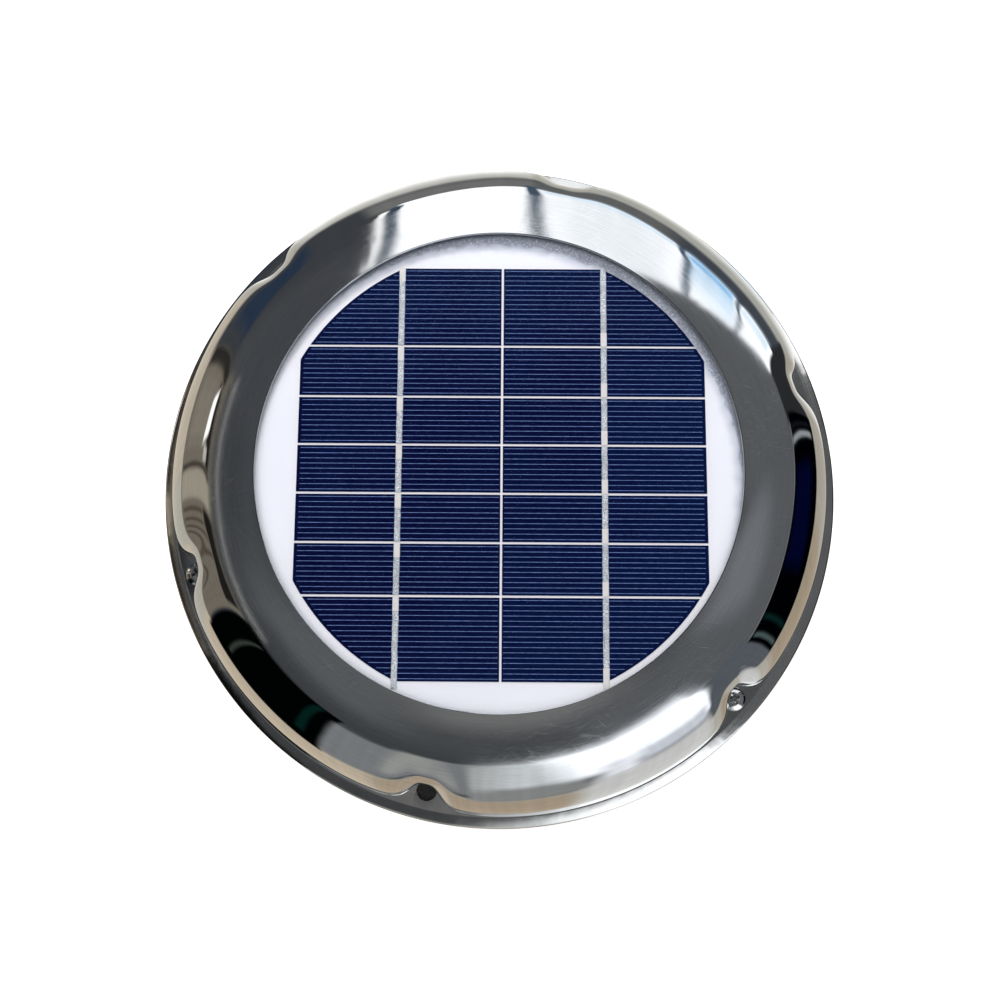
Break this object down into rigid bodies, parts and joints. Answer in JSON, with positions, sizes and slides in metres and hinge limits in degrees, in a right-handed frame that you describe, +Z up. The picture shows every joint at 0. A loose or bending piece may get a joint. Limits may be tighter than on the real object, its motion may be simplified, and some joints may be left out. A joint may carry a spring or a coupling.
{
  "type": "solar attic fan",
  "caption": "Round solar roof ventilator: domed stainless cover with a solar panel in its top, flanged base with duct spigot, and a motor-driven axial fan in the duct.",
  "frame": {"origin": "on the fan axis, on the roof plane under the flange", "axes": "+Z up out of the roof along the fan axis, +X along the rows of the solar cells"},
  "size_m": [0.215, 0.215, 0.059],
  "materials": {
    "stainless_cover": "satin ring, polished shoulder",
    "stainless_base": "polished",
    "stainless_screw": "polished",
    "glazing": "clear textured laminate",
    "solar_cell": "dark blue silicon with fine silver fingers",
    "tinned_ribbon": "tinned, uneven",
    "white_backsheet": "smooth",
    "grey_gasket": "matt",
    "foam_tape": "matt foam",
    "white_plastic": "fine moulded texture",
    "potting": "potted",
    "red_insulation": "soft sheath",
    "black_insulation": "soft sheath",
    "plated_steel": "bright zinc",
    "foam_gasket": "closed-cell foam",
    "steel_mesh": "woven wire",
    "black_plastic": "moulded",
    "black_rubber": "soft moulded",
    "motor_steel": "plated",
    "natural_nylon": "moulded",
    "ferrite": "sintered",
    "bronze": "sintered",
    "carbon": "pressed carbon",
    "brass_terminal": "bright",
    "shaft_steel": "ground",
    "lamination_steel": "laminated",
    "enamelled_copper": "enamelled wire",
    "copper": "turned",
    "brass_insert": "knurled",
    "fan_plastic": "moulded"
  },
  "bodies": {
    "housing": {"cover_shell": "stainless_cover", "panel_glazing": "glazing", "solar_cells": "solar_cell", "tabbing_ribbons": "tinned_ribbon", "panel_backsheet": "white_backsheet", "panel_gasket": "grey_gasket", "panel_tape": "foam_tape", "panel_carrier": "white_plastic", "junction_pad": "potting", "wire_red": "red_insulation", "wire_black": "black_insulation", "cover_studs": "plated_steel", "cover_standoffs": "plated_steel", "cover_washers": "plated_steel", "cover_screws": "plated_steel", "base_plate": "stainless_base", "trim_screws": "stainless_screw", "duct_tube": "white_plastic", "duct_base": "white_plastic", "deck_gasket": "foam_gasket", "insect_screen": "steel_mesh", "screen_retainer": "white_plastic", "motor_bracket": "black_plastic", "motor_sleeve": "black_rubber", "bracket_screws": "plated_steel", "motor_can": "motor_steel", "motor_end_cap": "natural_nylon", "motor_magnets": "ferrite", "bushing_front": "bronze", "bushing_rear": "bronze", "motor_brushes": "carbon", "motor_terminals": "brass_terminal", "motor_screws": "plated_steel"},
    "rotor": {"motor_shaft": "shaft_steel", "armature_core": "lamination_steel", "armature_windings": "enamelled_copper", "commutator": "copper", "thrust_washers": "natural_nylon", "impeller_insert": "brass_insert", "impeller": "fan_plastic"}
  },
  "joints": [
    {"name": "fan_spin", "type": "hinge", "parent": "housing", "child": "rotor", "pos_m": [0, 0, 0], "axis": [0, 0, 1], "continuous": true}
  ]
}
